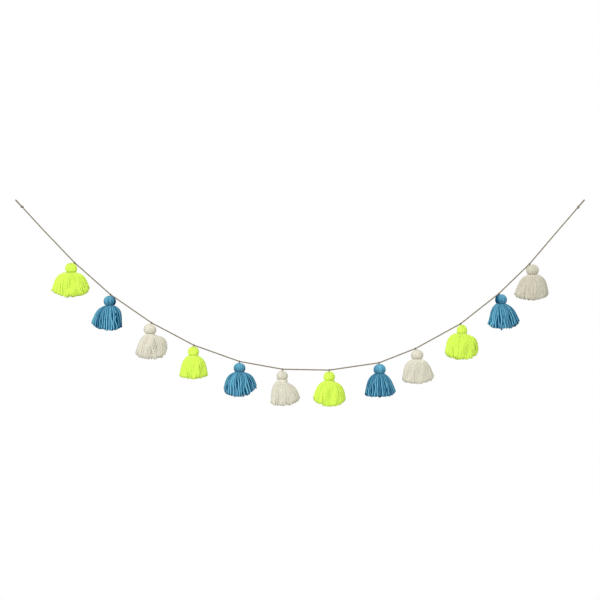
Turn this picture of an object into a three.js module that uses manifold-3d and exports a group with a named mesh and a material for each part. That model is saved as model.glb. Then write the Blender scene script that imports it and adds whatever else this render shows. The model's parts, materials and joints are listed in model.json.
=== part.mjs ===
// A wool tassel garland: twelve yarn tassels tied along one length of jute twine, which ends in
// a small loop at each side. Millimetres. +X runs to the right, +Z up, and the garland is looked
// at along +Y. The origin is the point inside the left loop where a hook carries it.
import * as THREE from 'three';
import { mergeVertices } from 'three/addons/utils/BufferGeometryUtils.js';
import Module from 'manifold-3d';

const wasm = await Module();
wasm.setup();

// The hanging line
const SPAN = 1232; // from hook to hook
const SAG = 368; // from the hooks down to the lowest tie
const TWINE_DIAMETER = 3;
const TWINE_SIDES = 8;
const KINK_REACH = 9; // a tassel's weight bends the twine within this distance of its tie
const STEPS_PER_POINT = 2;
const SEAT_GAP = 0.3; // between pieces that touch
const RUNNING_GAP = 0.4; // between pieces that turn past each other

// Where the line runs, from the left hook to the right one: the share of SPAN across and the
// share of SAG down. The places at each end are bare twine, and the others hold a tassel each.
const ROUTE_SHARES = [
  [0, 0],
  [0.0508, 0.184],
  [0.1028, 0.366],
  [0.166, 0.554],
  [0.2384, 0.721],
  [0.3129, 0.853],
  [0.3934, 0.949],
  [0.4695, 0.995],
  [0.5514, 1],
  [0.6392, 0.957],
  [0.7033, 0.873],
  [0.7827, 0.727],
  [0.8505, 0.548],
  [0.9043, 0.374],
  [0.9527, 0.184],
  [1, 0],
];

// The loop at each end lies edge-on to the front, and a knot closes it
const LOOP_REACH = 18; // from the knot to the loop's outer end
const LOOP_WIDTH = 12;
const LOOP_STEPS = 20;
const LOOP_SHARES = [
  // share of the loop's reach, share of its half width
  [0, 0.36],
  [0.1, 0.38],
  [0.28, 0.72],
  [0.5, 0.99],
  [0.74, 0.93],
  [0.93, 0.52],
  [1, 0],
];
const KNOT_LENGTH = 7;
const KNOT_DIAMETER = 6.6;
const KNOT_SIDES = 12;
const KNOT_SHARES = [
  // share of the knot's radius, share of its length
  [0, 0],
  [0.76, 0],
  [0.98, 0.2],
  [1, 0.4],
  [0.88, 0.5],
  [1, 0.6],
  [0.98, 0.8],
  [0.76, 1],
  [0, 1],
];

// A thin jute tie goes round the twine and holds the tassel's crown to it
const TIE_CORD = 1.2;
const TIE_STEPS = 10;
const TIE_SIDES = 6;
const TIE_RISE = 1.3; // height of the twine's centre over the crown
const SLOT_GAP = 1.3; // beside the twine in the crown, because the twine bends at the tie
const POCKET_SIDES = 12;
const POCKET_BANDS = 8;

// The head is a ball of folded yarn that swells over the neck, where the binding draws it in
const HEAD_WIDTH = 26.4;
const HEAD_HEIGHT = 21;
const HEAD_BANDS = 7;
const NECK_SIDES = 14;
const FOOT_RADIUS = 10.8; // of the head's lower edge
const NECK_RADIUS = 8; // of the bundle inside the binding
const DEPTH_SHARE = 0.92; // the head and neck are a little flat from front to back
const BINDING_HEIGHT = 3;
const BINDING_YARN = 1.5;
const BINDING_EDGE_SHARE = 0.6;

// The skirt of cut strands
const SKIRT_REACH = 36; // from the tassel's axis out to the side
const SKIRT_DEPTH = 26; // from the axis to the front or back
const SKIRT_DROP = 52; // from the binding to the hem
const COLLAR_RADIUS = 11.6; // the skirt's shoulder under the binding
const LOCKS = 10; // bunches of strands round the skirt
const SIDES_PER_LOCK = 2;
const LOCK_RELIEF = 1.1;
const SKIRT_SHARES = [
  // share of the skirt's drop, of its reach and of its depth
  [0.04, 0.47, 0.55],
  [0.12, 0.65, 0.72],
  [0.25, 0.81, 0.87],
  [0.42, 0.93, 0.96],
  [0.6, 1, 1],
  [0.76, 0.95, 0.98],
  [0.89, 0.75, 0.88],
  [0.97, 0.42, 0.66],
];

// Each tassel's build as shares of the sizes above: how far the skirt reaches left and right,
// how long it hangs, and how big the head is. lean is the angle in degrees by which the sloping
// twine pushes the head off the plumb line. sway is the share of SWAY_DEGREES that the tassel
// tips to the left and to the right: none where the head already rests on the twine.
const SWAY_DEGREES = 8;
const TASSEL_SHARES = [
  { left: 1.22, right: 1.17, drop: 0.97, head: 1, lean: -29, sway: [1, 0] },
  { left: 1.15, right: 0.77, drop: 1, head: 1.04, lean: -5, sway: [1, 0] },
  { left: 0.92, right: 1.08, drop: 1.02, head: 1.04, lean: -13, sway: [1, 1] },
  { left: 0.89, right: 0.9, drop: 0.94, head: 0.94, lean: -3, sway: [1, 1] },
  { left: 1, right: 1.09, drop: 0.99, head: 0.98, lean: 1, sway: [1, 1] },
  { left: 0.73, right: 1.14, drop: 1.04, head: 0.94, lean: -4, sway: [1, 1] },
  { left: 1.03, right: 1.03, drop: 1.04, head: 0.96, lean: 1, sway: [1, 1] },
  { left: 0.94, right: 1.03, drop: 0.93, head: 1, lean: 4.5, sway: [1, 1] },
  { left: 0.94, right: 1.07, drop: 0.98, head: 1.01, lean: 14.5, sway: [1, 1] },
  { left: 1.07, right: 1.04, drop: 1.05, head: 0.88, lean: 12, sway: [1, 1] },
  { left: 0.8, right: 1.17, drop: 1.01, head: 0.99, lean: 17.5, sway: [0, 1] },
  { left: 1.1, right: 1.02, drop: 1.03, head: 1.06, lean: 24.5, sway: [0, 1] },
];

const finish = (color, roughness) => new THREE.MeshStandardMaterial({ color, roughness, metalness: 0 });
const JUTE = finish(0x9c937d, 0.95);
const WOOLS = [
  finish(0xd2f53c, 0.9), // neon yellow
  finish(0x4a90b5, 0.9), // blue
  finish(0xe0dccb, 0.9), // cream
];

// Shared edges need shared vertices, and a fan at a pole leaves slivers that have none
function welded(geometry) {
  geometry.deleteAttribute('normal');
  geometry.deleteAttribute('uv');
  const merged = mergeVertices(geometry);
  const kept = [];
  for (let i = 0; i < merged.index.count; i += 3) {
    const corners = [0, 1, 2].map((n) => merged.index.getX(i + n));
    if (new Set(corners).size === corners.length) kept.push(...corners);
  }
  merged.setIndex(kept);
  merged.computeVertexNormals();
  return merged;
}

function toManifold(geometry) {
  const solid = welded(geometry);
  const vertProperties = new Float32Array(solid.attributes.position.array);
  const triVerts = new Uint32Array(solid.index.array);
  return new wasm.Manifold(new wasm.Mesh({ numProp: 3, vertProperties, triVerts }));
}

function toGeometry(manifold) {
  const { vertProperties, triVerts } = manifold.getMesh();
  const geometry = new THREE.BufferGeometry();
  geometry.setAttribute('position', new THREE.BufferAttribute(vertProperties, 3));
  geometry.setIndex(new THREE.BufferAttribute(triVerts, 1));
  geometry.computeVertexNormals();
  return geometry;
}

function addMesh(group, name, geometry, material) {
  const mesh = new THREE.Mesh(geometry, material);
  mesh.name = name;
  group.add(mesh);
  return mesh;
}

// A closed body whose level sections are ovals. Its rows run upwards, or round a ring's section,
// and each holds a height and how far the oval reaches left, right and to the front and back.
function ovalSolid(rows, sides, relief = 0, waves = 0) {
  const unit = rows.map((row, place) => new THREE.Vector2(Math.sign(row.depth), place));
  const geometry = new THREE.LatheGeometry(unit, sides);
  const { position } = geometry.attributes;
  for (let i = 0; i < position.count; i += 1) {
    const row = rows[Math.round(position.getY(i))];
    const across = position.getX(i);
    const forward = position.getZ(i);
    const wave = relief * (row.relief ?? 0) * Math.cos(waves * Math.atan2(across, forward));
    const x = across * ((across < 0 ? row.left : row.right) + wave);
    position.setXYZ(i, x, -forward * (row.depth + wave), row.height);
  }
  return welded(geometry);
}

const roundRow = (radius, height) => {
  return { left: radius, right: radius, depth: radius * DEPTH_SHARE, height };
};

// A tube of twine or yarn along a curve, with flat ends
function tube(curve, diameter, sides, steps) {
  const corner = (n) => {
    const angle = (2 * Math.PI * n) / sides;
    return new THREE.Vector2(Math.cos(angle), Math.sin(angle)).multiplyScalar(diameter / 2);
  };
  const section = new THREE.Shape(Array.from({ length: sides }, (_, n) => corner(n)));
  const options = { steps, bevelEnabled: false, extrudePath: curve };
  return welded(new THREE.ExtrudeGeometry(section, options));
}

const towards = (from, to, distance) => {
  return to.clone().sub(from).setLength(distance).add(from);
};

// The turn about Y that brings +X onto a direction in the garland's plane
const turnOf = (direction) => Math.atan2(-direction.z, direction.x);

// The route is stepped from point to point, so that the steps crowd where the twine bends
class TwineLine extends THREE.CatmullRomCurve3 {
  getUtoTmapping(u) {
    return u;
  }
}

const hookToKnot = LOOP_REACH - TWINE_DIAMETER;
const hookToTwine = hookToKnot + SEAT_GAP + KNOT_LENGTH + SEAT_GAP;
const places = ROUTE_SHARES.map(([across, down]) => new THREE.Vector3(across * SPAN, 0, -down * SAG));
const barePlaces = (places.length - TASSEL_SHARES.length) / 2;
const [leftHook, leftBare] = places;
const [rightBare, rightHook] = places.slice(-barePlaces);

// The twine runs straight from tie to tie and bends only near each tie, under its tassel
const twinePoints = [towards(leftHook, leftBare, hookToTwine), leftBare];
const tiePoints = [];
for (let n = barePlaces; n < places.length - barePlaces; n += 1) {
  tiePoints.push(twinePoints.length + 1);
  twinePoints.push(towards(places[n], places[n - 1], KINK_REACH));
  twinePoints.push(places[n]);
  twinePoints.push(towards(places[n], places[n + 1], KINK_REACH));
}
twinePoints.push(rightBare, towards(rightHook, rightBare, hookToTwine));
const twineLine = new TwineLine(twinePoints, false, 'centripetal');

function addTwine(garland) {
  const steps = (twinePoints.length - 1) * STEPS_PER_POINT;
  addMesh(garland, 'twine', tube(twineLine, TWINE_DIAMETER, TWINE_SIDES, steps), JUTE);
}

// One end of the line, drawn with the hook at its origin and the twine coming from -X
function addEnd(garland, side, hook, next) {
  const end = new THREE.Group();
  end.position.copy(hook);
  end.rotation.y = turnOf(hook.clone().sub(next));
  garland.add(end);

  const reach = LOOP_REACH - TWINE_DIAMETER / 2;
  const halfWidth = (LOOP_WIDTH - TWINE_DIAMETER) / 2;
  const half = LOOP_SHARES.map(([along, out]) => new THREE.Vector3(along * reach, out * halfWidth, 0));
  const otherHalf = half.slice(0, -1).reverse().map((point) => new THREE.Vector3(point.x, -point.y, 0));
  const eye = new THREE.CatmullRomCurve3([...half, ...otherHalf]);
  const loop = tube(eye, TWINE_DIAMETER, TWINE_SIDES, LOOP_STEPS);
  addMesh(end, `${side}_end_loop`, loop, JUTE).position.x = -hookToKnot;

  const profile = KNOT_SHARES.map(([out, along]) => {
    return new THREE.Vector2((out * KNOT_DIAMETER) / 2, along * KNOT_LENGTH);
  });
  const knot = welded(new THREE.LatheGeometry(profile, KNOT_SIDES));
  const mesh = addMesh(end, `${side}_end_knot`, knot, JUTE);
  mesh.rotation.z = Math.PI / 2;
  mesh.position.x = -hookToKnot - SEAT_GAP;
}

const tieRadius = TWINE_DIAMETER / 2 + RUNNING_GAP + TIE_CORD / 2; // of the tie's own centre line
const pocketRadius = tieRadius + TIE_CORD / 2 + RUNNING_GAP;

// The room that the twine needs in a tassel's crown as the tassel sways, seen from its tie
function twineSlot(turn, length, [left, right]) {
  const half = TWINE_DIAMETER / 2 + RUNNING_GAP;
  const beside = TWINE_DIAMETER / 2 + SLOT_GAP;
  const flare = (share) => length * Math.tan(THREE.MathUtils.degToRad(share * SWAY_DEGREES));
  const outline = new THREE.Shape();
  outline.moveTo(-length, half);
  outline.lineTo(-length, -half - flare(left));
  outline.lineTo(0, -half);
  outline.lineTo(length, -half - flare(right));
  outline.lineTo(length, half);
  const slot = new THREE.ExtrudeGeometry(outline, { depth: 2 * beside, bevelEnabled: false });
  slot.rotateX(Math.PI / 2).translate(0, beside, 0).rotateY(turn);
  return toManifold(slot);
}

// The head's widest section lies above its middle, because the neck cuts the ball off below
function headShape(share) {
  const radius = (HEAD_WIDTH / 2) * share;
  const lastAngle = Math.PI - Math.asin(FOOT_RADIUS / radius);
  const crown = (HEAD_HEIGHT * share) / (1 - Math.cos(lastAngle));
  return { radius, crown, lastAngle, foot: crown * Math.cos(lastAngle) };
}

function headGeometry({ radius, crown, lastAngle, foot }, centre, turn, sway) {
  const rows = [roundRow(0, foot)];
  for (let band = HEAD_BANDS; band >= 0; band -= 1) {
    const angle = (lastAngle * band) / HEAD_BANDS;
    rows.push(roundRow(radius * Math.sin(angle), crown * Math.cos(angle)));
  }
  const ball = ovalSolid(rows, NECK_SIDES).translate(centre.x, 0, centre.z);
  const pocket = new THREE.SphereGeometry(pocketRadius, POCKET_SIDES, POCKET_BANDS);
  const cut = toManifold(ball).subtract(toManifold(pocket));
  return toGeometry(cut.subtract(twineSlot(turn, radius + pocketRadius, sway)));
}

function bindingGeometry() {
  const inner = NECK_RADIUS + RUNNING_GAP;
  const outer = inner + BINDING_YARN;
  const edge = inner + BINDING_YARN * BINDING_EDGE_SHARE;
  const ring = [
    roundRow(inner, -BINDING_HEIGHT),
    roundRow(edge, -BINDING_HEIGHT),
    roundRow(outer, -BINDING_HEIGHT / 2),
    roundRow(edge, 0),
    roundRow(inner, 0),
  ];
  return ovalSolid([...ring, ring[0]], NECK_SIDES);
}

// The skirt hangs from height 0, and the core of the bundle stands up from it through the binding
function skirtGeometry({ left, right, drop }) {
  const length = SKIRT_DROP * drop;
  const depth = (SKIRT_DEPTH * (left + right)) / 2;
  const bell = SKIRT_SHARES.map(([down, out, forward]) => {
    return {
      left: SKIRT_REACH * left * out,
      right: SKIRT_REACH * right * out,
      depth: depth * forward,
      height: -length * down,
      relief: down,
    };
  });
  const core = SEAT_GAP + BINDING_HEIGHT;
  const rows = [
    roundRow(0, -length),
    ...bell.reverse(),
    roundRow(COLLAR_RADIUS, 0),
    roundRow(NECK_RADIUS, 0),
    roundRow(NECK_RADIUS, core),
    roundRow(0, core),
  ];
  return ovalSolid(rows, LOCKS * SIDES_PER_LOCK, LOCK_RELIEF, LOCKS);
}

function addTassel(garland, share, index) {
  const name = `tassel_${String(index + 1).padStart(2, '0')}`;
  const material = WOOLS[index % WOOLS.length];
  const lastPoint = twinePoints.length - 1;
  const tie = tiePoints[index];
  const turn = turnOf(twineLine.getTangent(tie / lastPoint));
  const tassel = new THREE.Group();
  tassel.position.copy(twinePoints[tie]);
  garland.add(tassel);

  const ring = new THREE.TorusGeometry(tieRadius, TIE_CORD / 2, TIE_SIDES, TIE_STEPS);
  ring.rotateY(Math.PI / 2);
  addMesh(tassel, `${name}_top_tie`, welded(ring), JUTE).rotation.y = turn;

  const shape = headShape(share.head);
  const lean = THREE.MathUtils.degToRad(share.lean);
  const centre = new THREE.Vector3(Math.sin(lean), 0, -Math.cos(lean));
  centre.multiplyScalar(shape.crown + TIE_RISE);
  addMesh(tassel, `${name}_head`, headGeometry(shape, centre, turn, share.sway), material);

  const binding = addMesh(tassel, `${name}_neck_binding`, bindingGeometry(), material);
  binding.position.set(centre.x, 0, centre.z + shape.foot - SEAT_GAP);

  const skirt = addMesh(tassel, `${name}_skirt`, skirtGeometry(share), material);
  skirt.position.set(centre.x, 0, binding.position.z - BINDING_HEIGHT - SEAT_GAP);
}

const garland = new THREE.Group();
addTwine(garland);
addEnd(garland, 'left', leftHook, leftBare);
addEnd(garland, 'right', rightHook, rightBare);
TASSEL_SHARES.forEach((share, index) => addTassel(garland, share, index));

export default garland;
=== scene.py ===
# The looks of a wool tassel garland: twelve yarn tassels, neon yellow, blue and cream in turn,
# tied along one sagging length of jute twine that ends in a knotted loop at each side. Metres,
# +X to the right, +Z up, looked at along +Y. The origin is the hook point in the left loop.
import json
import math

import bmesh
import bpy
import numpy as np
from mathutils import Matrix, Vector


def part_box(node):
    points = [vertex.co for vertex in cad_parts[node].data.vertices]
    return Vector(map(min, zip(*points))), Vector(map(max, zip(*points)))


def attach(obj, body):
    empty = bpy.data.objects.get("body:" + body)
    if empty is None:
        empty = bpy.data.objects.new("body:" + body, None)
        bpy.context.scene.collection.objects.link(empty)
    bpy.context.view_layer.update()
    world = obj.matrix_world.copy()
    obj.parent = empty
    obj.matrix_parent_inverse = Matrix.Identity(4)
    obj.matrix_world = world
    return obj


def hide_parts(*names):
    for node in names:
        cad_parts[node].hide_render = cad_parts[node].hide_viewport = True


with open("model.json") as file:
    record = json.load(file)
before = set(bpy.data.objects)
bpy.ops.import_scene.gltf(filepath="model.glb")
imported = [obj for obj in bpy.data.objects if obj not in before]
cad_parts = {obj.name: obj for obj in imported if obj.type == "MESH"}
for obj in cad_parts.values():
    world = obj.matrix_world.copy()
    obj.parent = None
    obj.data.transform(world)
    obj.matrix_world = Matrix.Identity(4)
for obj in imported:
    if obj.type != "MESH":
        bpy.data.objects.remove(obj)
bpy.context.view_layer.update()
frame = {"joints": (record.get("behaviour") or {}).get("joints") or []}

MM = 0.001

# The hanging line, from the left hook to the right one: the share of the span across and the
# share of the sag down. Two places at each end are bare twine, and each of the others is a tie.
SPAN = 1232 * MM
SAG = 368 * MM
KINK_REACH = 9 * MM
ROUTE_SHARES = [
    (0, 0),
    (0.0508, 0.184),
    (0.1028, 0.366),
    (0.166, 0.554),
    (0.2384, 0.721),
    (0.3129, 0.853),
    (0.3934, 0.949),
    (0.4695, 0.995),
    (0.5514, 1),
    (0.6392, 0.957),
    (0.7033, 0.873),
    (0.7827, 0.727),
    (0.8505, 0.548),
    (0.9043, 0.374),
    (0.9527, 0.184),
    (1, 0),
]
SEAT_GAP = 0.3 * MM  # between pieces that touch

# Jute twine of three plies
TWINE_DIAMETER = 3 * MM
TWINE_PLIES = 3
PLY_DIAMETER = 1.6 * MM
TWINE_LAY = 11 * MM  # one full turn of a ply
TWINE_STEP = 1.1 * MM  # from ring to ring
FEWEST_RINGS = 24
PLY_SIDES = 7
PLY_UNEVENNESS = 0.04  # of its thickness, and as a share of it
PLY_TINT_SPREAD = 0.5
ROUTE_SAMPLES = 12

# The loop at each end, and the knot that closes it
LOOP_REACH = 18 * MM
LOOP_WIDTH = 12 * MM
LOOP_SHARES = [(0, 0.36), (0.1, 0.38), (0.28, 0.72), (0.5, 0.99), (0.74, 0.93), (0.93, 0.52), (1, 0)]
KNOT_LENGTH = 7 * MM
KNOT_DIAMETER = 6.6 * MM
KNOT_TURNS = 2.5
KNOT_TILT = 0.8 * MM
KNOT_STEPS = 90
KNOT_CORE_STEPS = 12
LOOP_SAMPLES = 8

# The jute tie: it winds round the twine, and loops down into the tassel's crown
TIE_RADIUS = 1.95 * MM
TIE_CORD_RADIUS = 0.42 * MM
TIE_TURNS = 2.5
TIE_PITCH = 0.8 * MM
TIE_DROP = 4.8 * MM  # from the twine's middle down into the crown
TIE_STEPS = 61
TIE_SAMPLES = 4
TIE_RINGS = 64
TIE_TINT = -1.2

# Wool yarn
YARN_RADIUS = 1.4 * MM
PRESSED_RADIUS = 0.6 * MM
YARN_SIDES = 5
WOUND_TINT_SPREAD = 0.1  # from tie to tie, and from binding to binding

# A tassel's head: folded yarn that runs from the crown down over a ball and in under its foot
FOOT_RADIUS = 10.8 * MM
HEAD_BOX_SHARE = 0.973  # a facetted head's own width, as a share of the round one's
DEPTH_SHARE = 0.92
HEAD_STRANDS = 40
HEAD_PACKING = 1.55  # a strand's width, over the room that it has
HEAD_RINGS = 19
CROWN_START = 0.1  # the strands' start, as a share of the way from the top to the foot
PLACE_JITTER = 0.12  # as a share of the way to the next strand
TURN_JITTER = 0.03  # radians
HEAD_JITTER = 0.25 * MM
HEAD_TINT_SPREAD = 0.2
HEAD_FADE = (0.2, 0.8)  # shares of a head's height, from its top, over which painted light and shade change its tint
HEAD_MIDDLE = 0.5  # where it has the tint that its wool gives
DIMPLE = 0.5 * MM
DIMPLE_ANGLE = 0.3
TUCK_DROP = 0.7 * MM
CORE_INSET = 1.3 * YARN_RADIUS
CORE_TOP_INSET = 4 * YARN_RADIUS
# The core's tint is painted shade in the blue wool, darker behind the gaps between the head's
# strands, and painted light in the pale wools, paler there
CORE_PAINTED_TINT = -1.0
LINE_CLEARANCE = 0.55 * MM  # round the twine and the tie, also where the tassel swings and sways
LINE_REACH = 24 * MM  # the stretch of twine that can come near a head
CLEARING_ROUNDS = 2

# The binding round the neck
NECK_RADIUS = 8 * MM
BINDING_YARN_RADIUS = 0.62 * MM
BINDING_TURNS = 3.2
BINDING_RINGS = 72
BINDING_TUCK = 1.3 * MM  # how far each end goes in, over its last part of a turn
BINDING_END_TURNS = 0.2
BINDING_TINT = -1.2

# The skirt: strands in layers, each with its count, its nearest and farthest share of the way
# out to the skirt's side, and its tint. The deeper layers' tints are painted shade in the blue
# wool, darker in the gaps between the outer strands, and painted light in the pale wools, paler
# against the shade there. A skirt that reaches farther has more of them, and every other strand
# is paler.
SKIRT_LAYERS = [
    (72, 0.98, 1.0, 0.0),
    (66, 0.9, 0.93, -0.7),
    (54, 0.8, 0.86, -1.0),
    (40, 0.05, 0.74, -1.2),
]
USUAL_REACH = 32 * MM
PALER = 0.7
PACKING = 1.2  # a strand's width, over the room that the outermost ones have side by side
THICKNESS_SPREAD = 0.09
STEP_JITTER = 0.06  # as a share of the way to the next strand
HEM_STEPS = 721  # round the hem, to space the strands evenly along it
SKIRT_RINGS = 12
SKIRT_RING_POWER = 1.25
CORE_RISE = 2.5 * MM  # how far the bundle runs on above the binding, inside the head
COLLAR_RADIUS = 11.2 * MM
COLLAR_FADE = 0.16  # share of a strand's length over which the collar's painted light fades
PUFF = 2.2 * MM  # how high the strands rise beside the binding before they fall
ARCH = 0.7 * MM  # how much of that they have lost again at the collar
ARCH_SHARE = 0.72  # where they are highest, on the way from the neck to the collar
SHOULDER = 0.18  # share of a strand's length over which its shoulder swells out
HEM_INSET = 1.8 * MM
SHADE_SPREAD = 0.3  # of the strands' tints

# Strands gather in clumps on their way down
CLUMPS = 44
CLUMP_JITTER = 0.4
CLUMP_PULL = (0.0, 0.1)
PULL_POWER = 1.5
CLUMP_SINK = (0.98, 1.0)
CLUMP_DROP_SPREAD = 1.0 * MM
STRAND_DROP_SPREAD = 0.6 * MM
CLUMP_SHADE_SPREAD = 0.2

# Strands wave on their way down, neighbours much alike, and each a little by itself: the blue
# yarn is the curlier one
WAVES = 6
WAVE_LOBES = (3, 9)  # round the skirt
WAVE_PACE = (3, 10)  # radians over a strand's length
WAVE = 0.5 * MM
WAVE_ONSET = 0.5  # share of a strand's length over which its waves grow
OWN_PACE = (5, 16)
CALM = 0.15 * MM
CURLY = 0.8 * MM

# A few of the outermost hang lower and stand off
STRAY_SHARE = 0.06
STRAY_DROP = 1.5 * MM
STRAY_OUT = 2.5 * MM
STRAY_POWER = 4

# The left and the right side of each skirt: where it is widest, as a share of the way down, and
# how much of its reach the round shoulder takes, before the strands run on straight
SKIRT_SIDES = [
    ((0.63, 0.74), (0.59, 0.60)),
    ((0.62, 0.52), (0.75, 1.10)),
    ((0.70, 0.40), (0.60, 1.05)),
    ((0.83, 0.56), (0.77, 0.70)),
    ((0.67, 0.68), (0.50, 0.64)),
    ((0.87, 0.83), (0.66, 0.56)),
    ((0.60, 0.50), (0.68, 0.76)),
    ((0.85, 0.63), (0.72, 0.40)),
    ((0.80, 0.74), (0.63, 0.44)),
    ((0.68, 0.78), (0.61, 0.88)),
    ((0.75, 0.56), (0.63, 0.46)),
    ((0.74, 0.54), (0.68, 0.74)),
]

# Sides whose strands hang straight down from the collar before they swell out: the share of
# their length that does, below zero where they start already swollen
PLAIN = (0, 0)
STALKS = {
    1: (-0.06, -0.04),
    3: (0.05, 0.07),
    4: (0, 0.03),
    6: (0.07, 0.17),
    7: (0, 0.06),
    9: (0, -0.02),
    10: (-0.05, 0.05),
    12: (0, -0.03),
}

# How square the hem's corners are: a low power cuts the side slantwise up to its widest place
ROUND = (2.2, 2.2)
CORNERS = {
    1: (2.4, 2.0),
    2: (1.5, 2.2),
    3: (1.8, 2.2),
    5: (2.0, 1.0),
    6: (3.0, 2.0),
    7: (1.9, 2.0),
    8: (4.0, 3.0),
    9: (3.0, 2.2),
    10: (2.4, 1.8),
    12: (1.9, 1.9),
}

# What a whole tassel's tints differ by: the last one is a shade darker than the others in cream
TONES = {12: 3.5}

YARN_UV = "yarn"  # turns round a strand, and millimetres along it
TINT = "tint"
SLANT = (0.31, 0.22, 0.93)  # a direction that no strand sets out in


def unit(vectors):
    return vectors / np.linalg.norm(vectors, axis=-1, keepdims=True)


def reached(points):
    """How far along the polyline each of its points lies."""
    steps = np.linalg.norm(np.diff(points, axis=0), axis=1)
    return np.concatenate([[0], np.cumsum(steps)])


def evenly(points, count):
    """The polyline's points, spaced again at equal steps along it."""
    along = reached(points)
    wanted = np.linspace(0, along[-1], count)
    return np.stack([np.interp(wanted, along, points[:, axis]) for axis in range(3)], axis=1)


def smooth_line(points, samples):
    """A centripetal Catmull-Rom curve through the points."""
    points = np.asarray(points, float)
    ends = [2 * points[0] - points[1], *points, 2 * points[-1] - points[-2]]
    line = []
    for before, start, end, after in zip(ends, ends[1:], ends[2:], ends[3:]):
        steps = (start - before, end - start, after - end)
        d0, d1, d2 = (math.sqrt(np.linalg.norm(step)) for step in steps)
        leave = ((start - before) / d0 - (end - before) / (d0 + d1) + (end - start) / d1) * d1
        arrive = ((end - start) / d1 - (after - start) / (d1 + d2) + (after - end) / d2) * d1
        t = np.linspace(0, 1, samples, endpoint=False)[:, None]
        squared = 3 * (end - start) - 2 * leave - arrive
        cubed = 2 * (start - end) + leave + arrive
        line.append(start + leave * t + squared * t**2 + cubed * t**3)
    return np.concatenate([*line, points[-1:]])


def frames_along(paths):
    """Two directions square to each path at each of its rings, turning no more than they must."""
    along = unit(np.gradient(paths, axis=1))
    side = np.cross(along[:, 0], SLANT)
    sides = np.empty_like(paths)
    for ring in range(paths.shape[1]):
        tangent = along[:, ring]
        side = unit(side - (side * tangent).sum(-1, keepdims=True) * tangent)
        sides[:, ring] = side
    return sides, np.cross(along, sides)


def plies(line, count, offset, lay):
    """The centre lines of plies that twist round a line."""
    side, across = (axes[0] for axes in frames_along(line[None]))
    turns = reached(line) / lay + np.arange(count)[:, None] / count
    angle = math.tau * turns[..., None]
    return line + offset * (np.cos(angle) * side + np.sin(angle) * across)


def unit_tube(sides, rings):
    """A closed tube on the unit circle from z = 0 to 1, with its turn and height as UV."""
    tube = bmesh.new()
    bmesh.ops.create_cone(tube, cap_ends=True, segments=sides, radius1=1, radius2=1, depth=1)
    bmesh.ops.translate(tube, vec=(0, 0, 0.5), verts=tube.verts)
    upright = [edge for edge in tube.edges if edge.verts[0].co.z != edge.verts[1].co.z]
    bmesh.ops.subdivide_edges(tube, edges=upright, cuts=rings - 2, use_grid_fill=True)
    uv = tube.loops.layers.uv.new(YARN_UV)
    for face in tube.faces:
        face.smooth = True
        middle = face.calc_center_median()
        middle_turn = math.atan2(middle.y, middle.x) / math.tau
        for loop in face.loops:
            x, y, z = loop.vert.co
            turn = math.atan2(y, x) / math.tau
            loop[uv].uv = (turn + round(middle_turn - turn), z)
    mesh = bpy.data.meshes.new("unit_tube")
    tube.to_mesh(mesh)
    tube.free()
    return mesh


def values_of(collection, attribute, width):
    values = np.empty(len(collection) * width, np.float32)
    collection.foreach_get(attribute, values)
    return values.reshape(-1, width)


def yarn_piece(name, paths, radii, sides, tints, material):
    """One piece of many strands. Each path is a strand's centre line, ring by ring. A tint is for
    a whole strand, or for one ring of it."""
    count, rings = paths.shape[:2]
    template = unit_tube(sides, rings)
    strands = bmesh.new()
    for _ in range(count):
        strands.from_mesh(template)
    mesh = bpy.data.meshes.new(name)
    strands.to_mesh(mesh)
    strands.free()

    shape = values_of(template.vertices, "co", 3)
    ring = np.rint(shape[:, 2] * (rings - 1)).astype(int)
    side, across = frames_along(paths)
    round_it = shape[:, :1] * side[:, ring] + shape[:, 1:2] * across[:, ring]
    places = paths[:, ring] + np.broadcast_to(radii, (count, rings))[:, ring, None] * round_it
    mesh.vertices.foreach_set("co", places.astype(np.float32).ravel())

    uv = mesh.uv_layers[YARN_UV].data
    coordinates = values_of(uv, "uv", 2).reshape(count, -1, 2)
    lengths = np.linalg.norm(np.diff(paths, axis=1), axis=2).sum(axis=1)
    coordinates[..., 1] *= lengths[:, None] / MM
    uv.foreach_set("uv", coordinates.ravel())

    tint = mesh.attributes.new(TINT, "FLOAT", "POINT")
    tints = np.broadcast_to(np.reshape(tints, (count, -1)), (count, rings))[:, ring]
    tint.data.foreach_set("value", tints.astype(np.float32).ravel())
    mesh.update()
    bpy.data.meshes.remove(template)

    mesh.materials.append(material)
    piece = bpy.data.objects.new(name, mesh)
    bpy.context.scene.collection.objects.link(piece)
    return piece


def add_core(piece, centre, half_sizes, tint):
    """A plain ball of packed yarn inside a head, behind the gaps between its strands."""
    core = bmesh.new()
    core.from_mesh(piece.data)
    made = bmesh.ops.create_icosphere(core, subdivisions=3, radius=1)["verts"]
    bmesh.ops.scale(core, vec=half_sizes, verts=made)
    bmesh.ops.translate(core, vec=centre, verts=made)
    layer = core.verts.layers.float[TINT]
    for vert in made:
        vert[layer] = tint
        for face in vert.link_faces:
            face.smooth = True
    core.to_mesh(piece.data)
    core.free()


def dress(piece, node, body):
    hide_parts(node)
    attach(piece, body)


# Materials: how far a strand's shade goes up on its plies, painted shade that darkens the grooves
# between them, and along its wisps, and how high the wisps stand beside the plies
PLY_PAINTED_SHADE = 0.12
WISP_PALENESS = 0.3
WISP_HEIGHT = 0.6


def linear(colour):
    """A hex sRGB colour as linear red, green, blue and alpha."""
    channels = [int(colour[place : place + 2], 16) / 255 for place in (1, 3, 5)]
    return [c / 12.92 if c <= 0.04045 else ((c + 0.055) / 1.055) ** 2.4 for c in channels] + [1.0]


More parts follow.
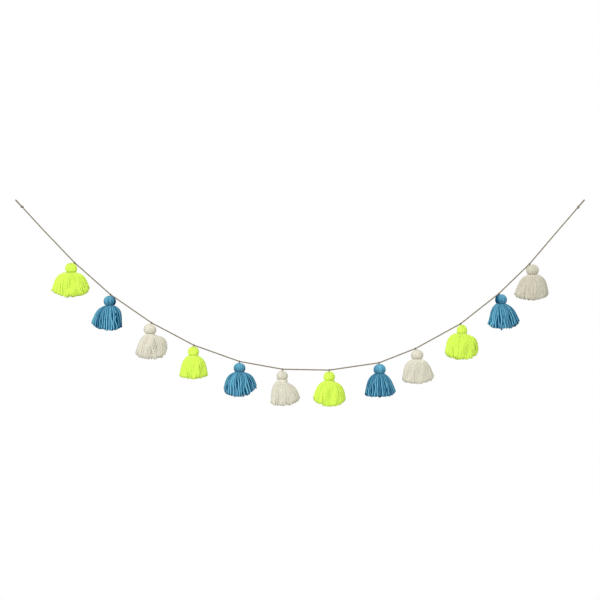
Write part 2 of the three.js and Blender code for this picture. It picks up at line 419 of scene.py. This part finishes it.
def add(tree, kind, inputs, **settings):
    """A node with its settings. Each input is a value, a socket or a node's first output."""
    node = tree.nodes.new(kind)
    for key, value in settings.items():
        setattr(node, key, value)
    for key, value in inputs.items():
        if isinstance(value, bpy.types.Node):
            value = value.outputs[0]
        if isinstance(value, bpy.types.NodeSocket):
            tree.links.new(value, node.inputs[key])
        else:
            node.inputs[key].default_value = value
    return node


def new_material(name):
    material = bpy.data.materials.new(name)
    material.use_nodes = True
    material.node_tree.nodes.clear()
    return material, material.node_tree


def yarn_material(name, deep, bright, middle, contrast, plies_in_yarn, twist, fibre, sheen, depth):
    """Twisted yarn. twist is one turn of a ply and fibre a wisp's length, both in millimetres."""
    material, tree = new_material(name)
    uv = add(tree, "ShaderNodeUVMap", {}, uv_map=YARN_UV)
    place = add(tree, "ShaderNodeSeparateXYZ", {"Vector": uv})
    turn, along = place.outputs["X"], place.outputs["Y"]
    tint = add(tree, "ShaderNodeAttribute", {}, attribute_name=TINT).outputs["Fac"]

    # Plies wind round the strand and leave a groove between them
    wound = {0: along, 1: 1 / twist, 2: turn}
    ply_turn = add(tree, "ShaderNodeMath", wound, operation="MULTIPLY_ADD")
    wound = {0: ply_turn, 1: math.pi * plies_in_yarn}
    ply_angle = add(tree, "ShaderNodeMath", wound, operation="MULTIPLY")
    ply_wave = add(tree, "ShaderNodeMath", {0: ply_angle}, operation="SINE")
    ply = add(tree, "ShaderNodeMath", {0: ply_wave}, operation="ABSOLUTE")

    # Loose fibres lie along the plies
    wisp_along = add(tree, "ShaderNodeMath", {0: along, 1: 1 / fibre}, operation="MULTIPLY")
    wisp_place = add(tree, "ShaderNodeCombineXYZ", {"X": ply_turn, "Y": wisp_along, "Z": tint})
    noise = {"Vector": wisp_place, "Scale": 2.0, "Detail": 3.0, "Roughness": 0.6}
    wisps = add(tree, "ShaderNodeTexNoise", noise).outputs["Fac"]

    height = add(tree, "ShaderNodeMath", {0: wisps, 1: WISP_HEIGHT, 2: ply}, operation="MULTIPLY_ADD")
    bump = add(tree, "ShaderNodeBump", {"Height": height, "Strength": 0.6, "Distance": depth})

    # A strand is a shade of its own, paler on its plies, with painted shade in the grooves between
    # them, and paler along its wisps
    shade = middle
    for part, share in ((tint, contrast), (ply, PLY_PAINTED_SHADE), (wisps, WISP_PALENESS)):
        terms = {0: part, 1: share, 2: shade}
        shade = add(tree, "ShaderNodeMath", terms, operation="MULTIPLY_ADD")
    colours = {"Factor": shade, 6: linear(deep), 7: linear(bright)}
    colour = add(tree, "ShaderNodeMix", colours, data_type="RGBA", clamp_factor=True)
    finish = {
        "Base Color": colour.outputs[2],
        "Roughness": 0.92,
        "Specular IOR Level": 0.08,
        "Sheen Weight": sheen,
        "Sheen Roughness": 0.5,
        "Sheen Tint": linear(bright),
        "Normal": bump,
    }
    surface = add(tree, "ShaderNodeBsdfPrincipled", finish)
    add(tree, "ShaderNodeOutputMaterial", {"Surface": surface})
    return material


# Spun worsted wool, dyed in the hank: matt, soft-edged strands, a shade lighter or darker from
# strand to strand, with a short bloom of fibres that catches the light at grazing angles. A head's
# strands are painted light: paler than the rest of their wool. Blue and cream heads have painted
# light and shade: paler near the top, darker towards the foot and beside the twine. The pale wools
# have painted light at the collar, paler where the head's shadow falls. A tint above 0 is darker
# in the pale wools, and paler in the blue one
WOOL = {"plies_in_yarn": 4, "twist": 12.0, "fibre": 22.0, "sheen": 0.12, "depth": 0.12 * MM}
wools = [
    {
        "slot": "wool_neon",
        "material": yarn_material("wool_neon_yellow", "#CAEE48", "#DFF96A", 0.3, -0.1, **WOOL),
        "head_painted_light": -0.8,
        "foot_painted_shade": 0,
        "collar_painted_light": -3.5,
        "twine_painted_shade": 0,
        "own_wave": CALM,
    },
    {
        "slot": "wool_blue",
        "material": yarn_material("wool_blue", "#004468", "#76C2DE", 0.215, 0.55, **WOOL),
        "head_painted_light": 0.22,
        "foot_painted_shade": -1.1,
        "collar_painted_light": 0,
        "twine_painted_shade": -3.5,
        "own_wave": CURLY,
    },
    {
        "slot": "wool_cream",
        "material": yarn_material("wool_cream", "#C6C2AF", "#E9E5D5", 0.3, -0.1, **WOOL),
        "head_painted_light": -1.2,
        "foot_painted_shade": 6.9,
        "collar_painted_light": -4.5,
        "twine_painted_shade": 3.5,
        "own_wave": CALM,
    },
]

# Twisted jute: stiff straw-brown fibres with grey ones among them, rough and without sheen
JUTE = {"plies_in_yarn": 5, "twist": 14.0, "fibre": 6.0, "sheen": 0.0, "depth": 0.15 * MM}
jute = yarn_material("jute_twine", "#665E4D", "#A3987F", 0.34, 0.22, **JUTE)


# The camera stands square to the garland, far enough off that the tassels hardly turn away
PICTURE_WIDTH = 1302 * MM
PICTURE_CENTRE = Vector((616 * MM, 0, -215.9 * MM))
CAMERA_DISTANCE = 5.0
SENSOR = 36.0


def add_camera():
    lens = bpy.data.cameras.new("camera")
    lens.sensor_width = SENSOR
    lens.lens = SENSOR * CAMERA_DISTANCE / PICTURE_WIDTH
    camera = bpy.data.objects.new("camera", lens)
    camera.location = PICTURE_CENTRE - Vector((0, CAMERA_DISTANCE, 0))
    camera.rotation_euler = (math.pi / 2, 0, 0)
    bpy.context.scene.collection.objects.link(camera)
    bpy.context.scene.camera = camera


def towards(start, end, distance):
    return start + unit(end - start) * distance


def twine_route():
    """The twine's points from knot to knot: straight from tie to tie, and bent near each tie."""
    places = [np.array((across * SPAN, 0, -down * SAG)) for across, down in ROUTE_SHARES]
    hook_to_twine = LOOP_REACH - TWINE_DIAMETER + KNOT_LENGTH + 2 * SEAT_GAP
    points = [towards(places[0], places[1], hook_to_twine), places[1]]
    for before, tie, after in zip(places[1:], places[2:-2], places[3:]):
        points += [towards(tie, before, KINK_REACH), tie, towards(tie, after, KINK_REACH)]
    points += [places[-2], towards(places[-1], places[-2], hook_to_twine)]
    return places, points


def add_twine(node, line, rng):
    """Three-ply twine along a line, in the place of a node."""
    rings = max(FEWEST_RINGS, round(reached(line)[-1] / TWINE_STEP))
    line = evenly(line, rings)
    paths = plies(line, TWINE_PLIES, (TWINE_DIAMETER - PLY_DIAMETER) / 2, TWINE_LAY)
    radii = PLY_DIAMETER / 2 * rng.normal(1, PLY_UNEVENNESS, (TWINE_PLIES, rings))
    tints = rng.normal(0, PLY_TINT_SPREAD, TWINE_PLIES)
    piece = yarn_piece(f"{node}_plies", paths, radii, PLY_SIDES, tints, jute)
    dress(piece, node, "root")
    return piece


def add_end(side, hook, nearest, rng):
    """The loop at one end, edge-on to the front, and the wound knot that closes it."""
    out = unit(hook - nearest)
    wide = np.array((0, 1, 0))
    knot_face = hook - out * (LOOP_REACH - TWINE_DIAMETER)
    reach = LOOP_REACH - TWINE_DIAMETER / 2
    half_width = (LOOP_WIDTH - TWINE_DIAMETER) / 2
    there = [(far * reach, half_width * share) for far, share in LOOP_SHARES]
    back = [(far, -aside) for far, aside in there[-2::-1]]
    eye = [knot_face + out * far + wide * aside for far, aside in there + back]
    loop = add_twine(f"{side}_end_loop", smooth_line(eye, LOOP_SAMPLES), rng)

    up = np.cross(wide, out)
    rope = (KNOT_DIAMETER - TWINE_DIAMETER) / 2
    turns = np.linspace(0, KNOT_TURNS, KNOT_STEPS)[:, None]
    angle = math.tau * turns
    inset = TWINE_DIAMETER / 2
    depth = inset + (KNOT_LENGTH - 2 * inset) * turns / KNOT_TURNS + KNOT_TILT * np.sin(angle)
    coil = knot_face - out * (SEAT_GAP + depth) + rope * (np.cos(angle) * wide + np.sin(angle) * up)
    core = knot_face - out * KNOT_LENGTH * np.linspace(1, 0, KNOT_CORE_STEPS)[:, None]
    knot = add_twine(f"{side}_end_knot", np.concatenate([core, coil]), rng)
    return [loop, knot]


def add_line(rng):
    """Makes the twine with its ends, and gives its centre line in steps of a millimetre."""
    places, points = twine_route()
    line = smooth_line(points, ROUTE_SAMPLES)
    twine = add_twine("twine", line, rng)
    ends = add_end("left", places[0], places[1], rng) + add_end("right", places[-1], places[-2], rng)
    return evenly(line, round(reached(line)[-1] / MM))


def passes(line, swing, swung, sway):
    """Where a line by a tassel lies, as the tassel meets it when it is swung by each angle and
    swayed to each limit."""
    place = np.array(swing["pos_m"])
    near = line[np.linalg.norm(line - place, axis=1) < LINE_REACH] - place
    seen = []
    for angle in swung:
        for lean in (0, *sway["range_deg"]):
            back = Matrix.Rotation(-math.radians(lean), 3, sway["axis"])
            back = back @ Matrix.Rotation(-math.radians(angle), 3, swing["axis"])
            seen.append(place + near @ np.array(back).T)
    return seen


def clear_of_line(points, line, room):
    """Moves points that lie nearer to a line than their room out to that distance."""
    apart = points[..., None, :] - line
    distance = np.linalg.norm(apart, axis=-1)
    nearest = distance.argmin(-1)
    least = np.take_along_axis(distance, nearest[..., None], -1)
    away = np.take_along_axis(apart, nearest[..., None, None], -2)[..., 0, :] / least
    return points + away * np.maximum(room[..., None] - least, 0)


def tie_line(swing, centre):
    """From inside the crown up to the twine, round it and down again."""
    place = np.array(swing["pos_m"])
    along = np.array(swing["axis"])
    front = np.array((0, -1, 0))
    down = np.cross(along, front)
    turns = np.linspace(-TIE_TURNS / 2, TIE_TURNS / 2, TIE_STEPS)[:, None]
    angle = math.tau * turns
    beside = TIE_RADIUS * (np.cos(angle) * down + np.sin(angle) * front)
    wound = place + along * turns * TIE_PITCH - beside
    foot = towards(place, centre, TIE_DROP)
    return smooth_line([foot, *wound, foot], TIE_SAMPLES)


def add_tie(name, line, rng):
    """Thin jute lashed round the twine over a tassel's crown, and through the crown."""
    tints = rng.normal(TIE_TINT, WOUND_TINT_SPREAD, 1)
    path = evenly(line, TIE_RINGS)[None]
    tie = yarn_piece(f"{name}_top_tie_cord", path, TIE_CORD_RADIUS, YARN_SIDES, tints, jute)
    dress(tie, f"{name}_top_tie", f"{name}_tie")


def head_shape(name):
    """A head's round radius, its crown's height over its widest section, the angle from its top
    round to its foot, and the height of the widest section."""
    low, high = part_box(f"{name}_head")
    radius = (high.x - low.x) / 2 / HEAD_BOX_SHARE
    last_angle = math.pi - math.asin(FOOT_RADIUS / radius)
    crown = (high.z - low.z) / (1 - math.cos(last_angle))
    return radius, crown, last_angle, low.z - crown * math.cos(last_angle)


def head_strands(head_radius, crown, last_angle, rng):
    """Each strand's start as a share of a turn, its rings' places and radii, and how far down the
    head each ring lies."""
    down = np.linspace(CROWN_START, 1, HEAD_RINGS) * last_angle
    jitter = rng.uniform(-PLACE_JITTER, PLACE_JITTER, HEAD_STRANDS)
    start = (np.arange(HEAD_STRANDS) + jitter) / HEAD_STRANDS
    phase = rng.uniform(0, math.tau, (HEAD_STRANDS, 1))
    wander = rng.normal(0, TURN_JITTER, (HEAD_STRANDS, 1)) * np.sin(down + phase)
    turn = math.tau * start[:, None] + wander
    layer = rng.normal(0, HEAD_JITTER, (HEAD_STRANDS, 1)) - YARN_RADIUS
    out = (head_radius + layer) * np.sin(down)
    height = (crown + layer) * np.cos(down) - DIMPLE * np.exp(-((down / DIMPLE_ANGLE) ** 2))
    radii = np.clip(HEAD_PACKING * math.pi * out / HEAD_STRANDS, PRESSED_RADIUS, YARN_RADIUS)
    paths = np.stack([out * np.cos(turn), DEPTH_SHARE * out * np.sin(turn), height], axis=-1)

    # The foot turns in over the binding
    inward = NECK_RADIUS / FOOT_RADIUS
    tucked = paths[:, -1] * (inward, inward, 1) - np.array((0, 0, TUCK_DROP))
    paths = np.concatenate([paths, tucked[:, None]], axis=1)
    radii = np.concatenate([radii, np.full_like(radii[:, -1:], PRESSED_RADIUS)], axis=1)
    sunk = (1 - np.cos(np.append(down, last_angle))) / (1 - math.cos(last_angle))
    return start, paths, radii, sunk


def add_head(name, axis_x, wool, slope, cleared, rng):
    head_radius, crown, last_angle, middle_z = head_shape(name)
    start, paths, radii, sunk = head_strands(head_radius, crown, last_angle, rng)
    paths += np.array((axis_x, 0, middle_z))
    for line, radius in cleared * CLEARING_ROUNDS:
        paths = clear_of_line(paths, line, radii + radius + LINE_CLEARANCE)
    # Painted light: a head's strands are paler than the rest of their wool
    tints = rng.normal(wool["head_painted_light"] + wool["tone"], HEAD_TINT_SPREAD, HEAD_STRANDS)
    # Painted shade: blue and cream head strands on the twine's side are darker
    twine_shade_share = np.clip(-np.cos(math.tau * start) * slope, 0, 1)
    tints += wool["twine_painted_shade"] * twine_shade_share**2
    # Painted light and shade: blue and cream heads are paler near the top and darker towards the foot
    tints = tints[:, None] + wool["foot_painted_shade"] * (np.clip(sunk, *HEAD_FADE) - HEAD_MIDDLE)
    head = yarn_piece(f"{name}_head_yarn", paths, radii, YARN_SIDES, tints, wool["material"])
    inner = head_radius - CORE_INSET
    half_sizes = (inner, inner * DEPTH_SHARE, crown - CORE_TOP_INSET)
    add_core(head, (axis_x, 0, middle_z), half_sizes, CORE_PAINTED_TINT)
    dress(head, f"{name}_head", name)


def add_binding(name, axis_x, wool, rng):
    low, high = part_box(f"{name}_neck_binding")
    radius = (high.x - low.x) / 2 - BINDING_YARN_RADIUS
    turns = np.linspace(0, BINDING_TURNS, BINDING_RINGS)
    angle = math.tau * turns + rng.uniform(0, math.tau)
    ends = np.minimum(turns, BINDING_TURNS - turns)
    out = radius - BINDING_TUCK * np.clip(1 - ends / BINDING_END_TURNS, 0, 1)
    top, bottom = high.z - BINDING_YARN_RADIUS, low.z + BINDING_YARN_RADIUS
    height = top + (bottom - top) * turns / BINDING_TURNS
    x, y = axis_x + out * np.cos(angle), DEPTH_SHARE * out * np.sin(angle)
    paths = np.stack([x, y, height], axis=-1)[None]
    tints = rng.normal(BINDING_TINT + wool["tone"], WOUND_TINT_SPREAD, 1)
    radius, material = BINDING_YARN_RADIUS, wool["material"]
    binding = yarn_piece(f"{name}_binding_yarn", paths, radius, YARN_SIDES, tints, material)
    dress(binding, f"{name}_neck_binding", name)


def hem_steps(left, right, depth):
    """Turns round the tassel, and how far each step of them goes along the hem."""
    turns = np.linspace(0, math.tau, HEM_STEPS)
    reach = np.where(np.cos(turns) < 0, left, right)
    return turns, np.hypot(reach * np.sin(turns), depth * np.cos(turns))


def skirt_strands(turns, steps, rng):
    """Each strand's turn, its share of the way out to the skirt's side and its tint, and how many
    of the strands are outermost."""
    along_hem = np.cumsum(steps) - steps[0]
    placed, shares, tints = [], [], []
    for usual_count, near, far, tint in SKIRT_LAYERS:
        count = round(usual_count * steps.mean() / USUAL_REACH)
        place = np.arange(count)
        jitter = rng.uniform(-STEP_JITTER, STEP_JITTER, count)
        even = (place + jitter + rng.uniform()) / count % 1
        placed.append(np.interp(even * along_hem[-1], along_hem, turns))
        shares.append(rng.uniform(near, far, count))
        # A deeper layer's tint is painted shade in the blue wool and painted light in the pale ones
        tints.append(tint + PALER * (-1.0) ** place)
    return np.concatenate(placed), np.concatenate(shares), np.concatenate(tints), len(placed[0])


def gathered(turn, share, rng):
    """Each strand's clump, how far it turns towards it, and its share of the way out."""
    jitter = rng.uniform(-CLUMP_JITTER, CLUMP_JITTER, CLUMPS)
    clump_turns = (np.arange(CLUMPS) + jitter) / CLUMPS * math.tau
    gap = (clump_turns - turn[:, None] + math.pi) % math.tau - math.pi
    clump = np.abs(gap).argmin(axis=1)
    pull = gap[np.arange(len(turn)), clump] * rng.uniform(*CLUMP_PULL, CLUMPS)[clump]
    return clump, pull, share * rng.uniform(*CLUMP_SINK, CLUMPS)[clump]


def cut_ends(clump, outermost, rng):
    """How much longer each strand is than the hem is deep, and which of them stray."""
    count = len(clump)
    longer = rng.normal(0, CLUMP_DROP_SPREAD, CLUMPS)[clump]
    longer += rng.normal(0, STRAND_DROP_SPREAD, count)
    stray = (rng.uniform(0, 1, count) < STRAY_SHARE) * (np.arange(count) < outermost)
    return longer + STRAY_DROP * stray, stray


def waves(turn, t, own_wave, rng):
    """How far strands stand off to the side at each ring."""
    off = np.zeros((len(turn), len(t)))
    for _ in range(WAVES):
        lobes = rng.integers(*WAVE_LOBES)
        phase = lobes * turn[:, None] + rng.uniform(*WAVE_PACE) * t + rng.uniform(0, math.tau)
        off += rng.normal(0, WAVE) * np.sin(phase)
    own = rng.uniform(*OWN_PACE, (len(turn), 1)) * t + rng.uniform(0, math.tau, (len(turn), 1))
    off += rng.normal(0, own_wave, (len(turn), 1)) * np.sin(own)
    return off * np.minimum(t / WAVE_ONSET, 1)


def swollen(t, stalk, swell):
    """How far out a strand is at each ring, as a share of its way out to the skirt's side."""
    out = np.clip((t - stalk) / (1 - stalk), 0, 1)
    rounded = (1 - np.exp(-out / SHOULDER)) / (1 - math.exp(-1 / SHOULDER))
    return out + swell * (rounded - out)


def between(left, right, rightness):
    return left + (right - left) * rightness


def hem_shape(number, turned, share):
    """Each strand's length as a share of the longest, where it starts to swell out, and how much."""
    rightness = (1 + np.cos(turned)) / 2
    (left_widest, left_swell), (right_widest, right_swell) = SKIRT_SIDES[number - 1]
    widest = between(left_widest, right_widest, rightness)
    swell = between(left_swell, right_swell, rightness) * share
    stalk = between(*STALKS.get(number, PLAIN), rightness)
    corner = between(*CORNERS.get(number, ROUND), rightness)
    aside = np.clip(np.abs(np.cos(turned)) * share, 0, 1)
    return 1 - (1 - widest) * (1 - np.sqrt(1 - aside**corner)), stalk, swell


def add_skirt(name, axis_x, number, wool, rng):
    low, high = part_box(f"{name}_skirt")
    neck_low, neck_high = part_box(f"{name}_neck_binding")
    top = neck_low.z + PUFF - ARCH
    left = axis_x - low.x - YARN_RADIUS
    right = high.x - axis_x - YARN_RADIUS
    depth = high.y - YARN_RADIUS
    drop = top - low.z - HEM_INSET
    turns, steps = hem_steps(left, right, depth)
    turn, share, tints, outermost = skirt_strands(turns, steps, rng)
    clump, pull, share = gathered(turn, share, rng)
    count = len(turn)
    share = share[:, None]

    # From the collar they fan out to the skirt's side, and their cut ends make the hem
    t = np.linspace(0, 1, SKIRT_RINGS) ** SKIRT_RING_POWER
    now = turn[:, None] + pull[:, None] * t**PULL_POWER
    length, stalk, swell = hem_shape(number, now[:, -1:], share)
    longer, stray = cut_ends(clump, outermost, rng)
    fall = (drop * length + longer[:, None]) * t
    outward = swollen(t, stalk, swell)
    reach = np.where(np.cos(now) < 0, left, right)
    collar = COLLAR_RADIUS * share
    astray = STRAY_OUT * stray[:, None] * t**STRAY_POWER
    wide = collar + (reach * share - collar) * outward + astray
    deep = DEPTH_SHARE * collar + (depth * share - DEPTH_SHARE * collar) * outward
    step = np.hypot(np.sin(now) * wide, np.cos(now) * deep)
    room = step / np.interp(turn, turns, steps)[:, None] * math.pi * USUAL_REACH / SKIRT_LAYERS[0][0]
    aslant = waves(turn, t, wool["own_wave"], rng)
    x = np.cos(now) * wide - np.sin(now) * aslant
    y = np.sin(now) * deep + np.cos(now) * aslant
    hanging = np.stack([axis_x + x, y, top - fall], axis=-1)

    # The bundle's core stands up through the binding into the head, and the strands arch out
    # from under the binding
    core = (NECK_RADIUS - PRESSED_RADIUS) * share
    arched = core + (collar - core) * ARCH_SHARE
    bound = []
    for out, z in ((core, neck_high.z + CORE_RISE), (core, neck_low.z), (arched, top + ARCH)):
        x, y = out[:, 0] * np.cos(turn), DEPTH_SHARE * out[:, 0] * np.sin(turn)
        bound.append(np.stack([axis_x + x, y, np.full(count, z)], axis=-1))
    paths = np.concatenate([np.stack(bound, axis=1), hanging], axis=1)
    thickness = YARN_RADIUS * rng.normal(1, THICKNESS_SPREAD, (count, 1))
    radii = np.clip(PACKING * room, PRESSED_RADIUS, thickness)
    radii = np.concatenate([np.full((count, len(bound)), PRESSED_RADIUS), radii], axis=1)

    tints += wool["tone"] + rng.normal(0, SHADE_SPREAD, count)
    tints += rng.normal(0, CLUMP_SHADE_SPREAD, CLUMPS)[clump]
    # Painted light: the pale wools' strands are paler at the collar, where the head's shadow falls
    collar_light_share = np.append(np.ones(len(bound)), np.clip(1 - t / COLLAR_FADE, 0, 1))
    tints = tints[:, None] + wool["collar_painted_light"] * collar_light_share
    skirt = yarn_piece(f"{name}_skirt_yarn", paths, radii, YARN_SIDES, tints, wool["material"])
    dress(skirt, f"{name}_skirt", name)


def add_tassels(line):
    joints = frame["joints"]
    for number, (swing, sway) in enumerate(zip(joints[::2], joints[1::2]), 1):
        name = sway["child"]
        wool = {**wools[(number - 1) % len(wools)], "tone": TONES.get(number, 0)}
        rng = np.random.default_rng(number)
        low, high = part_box(f"{name}_neck_binding")
        axis_x = (low.x + high.x) / 2
        tie = tie_line(swing, np.array((axis_x, 0, head_shape(name)[-1])))
        add_tie(name, tie, rng)
        swung = (0, *swing["range_deg"])
        cleared = [(seen, TWINE_DIAMETER / 2) for seen in passes(line, swing, swung, sway)]
        cleared += [(seen, TIE_CORD_RADIUS) for seen in passes(tie, swing, (0,), sway)]
        add_head(name, axis_x, wool, swing["axis"][2], cleared, rng)
        add_binding(name, axis_x, wool, rng)
        add_skirt(name, axis_x, number, wool, rng)


# The stage: a pale floor well under the garland, a white surround and soft lamps
FLOOR_RADIUS = 4.5
FLOOR_HEIGHT = -1.6
FLOOR_COLOUR = "#C8C8C8"
FLOOR_LIFT = 0.56
WORLD_STRENGTH = 0.5
LAMPS = [
    # name, place, size, watts
    ("key_lamp", (-2.6, -4.7, 3.0), 2.2, 178.0),
    ("front_lamp", (0.7, -4.4, 0.1), 0.8, 68.0),
    ("back_lamp", (1.6, 4.2, 1.8), 2.2, 90.0),
]


def seen_directly(tree):
    """1 for what the camera sees directly, or by a mirror or through glass."""
    path = add(tree, "ShaderNodeLightPath", {}).outputs
    seen = {0: path["Is Camera Ray"], 1: path["Is Glossy Ray"]}
    seen = {0: add(tree, "ShaderNodeMath", seen, operation="MAXIMUM"), 1: path["Is Transmission Ray"]}
    return add(tree, "ShaderNodeMath", seen, operation="MAXIMUM")


def add_floor():
    """Matt pale grey paint, lifted to white where it is seen, so that only shadows show on it."""
    disc = bmesh.new()
    bmesh.ops.create_circle(disc, cap_ends=True, segments=96, radius=FLOOR_RADIUS)
    bmesh.ops.translate(disc, vec=(PICTURE_CENTRE.x, 0, FLOOR_HEIGHT), verts=disc.verts)
    mesh = bpy.data.meshes.new("floor")
    disc.to_mesh(mesh)
    disc.free()
    material, tree = new_material("floor_paint")
    paint = add(tree, "ShaderNodeBsdfDiffuse", {"Color": linear(FLOOR_COLOUR)})
    lift = {0: seen_directly(tree), 1: FLOOR_LIFT}
    strength = add(tree, "ShaderNodeMath", lift, operation="MULTIPLY")
    lift = add(tree, "ShaderNodeEmission", {"Color": linear("#FFFFFF"), "Strength": strength})
    both = add(tree, "ShaderNodeAddShader", {0: paint, 1: lift})
    add(tree, "ShaderNodeOutputMaterial", {"Surface": both})
    mesh.materials.append(material)
    floor = bpy.data.objects.new("floor", mesh)
    bpy.context.scene.collection.objects.link(floor)


def add_surround():
    world = bpy.data.worlds.new("surround")
    world.use_nodes = True
    tree = world.node_tree
    tree.nodes.clear()
    strength = {0: seen_directly(tree), 1: 1 - WORLD_STRENGTH, 2: WORLD_STRENGTH}
    strength = add(tree, "ShaderNodeMath", strength, operation="MULTIPLY_ADD")
    background = add(tree, "ShaderNodeBackground", {"Color": linear("#FFFFFF"), "Strength": strength})
    add(tree, "ShaderNodeOutputWorld", {"Surface": background})
    bpy.context.scene.world = world


def add_lamps():
    for name, place, size, watts in LAMPS:
        lamp = bpy.data.lights.new(name, "AREA")
        lamp.shape = "DISK"
        lamp.size = size
        lamp.energy = watts
        holder = bpy.data.objects.new(name, lamp)
        holder.location = place
        holder.rotation_euler = (PICTURE_CENTRE - Vector(place)).to_track_quat("-Z", "Y").to_euler()
        bpy.context.scene.collection.objects.link(holder)


add_camera()
add_tassels(add_line(np.random.default_rng(0)))
add_floor()
add_surround()
add_lamps()
bpy.context.scene.view_settings.view_transform = "Standard"
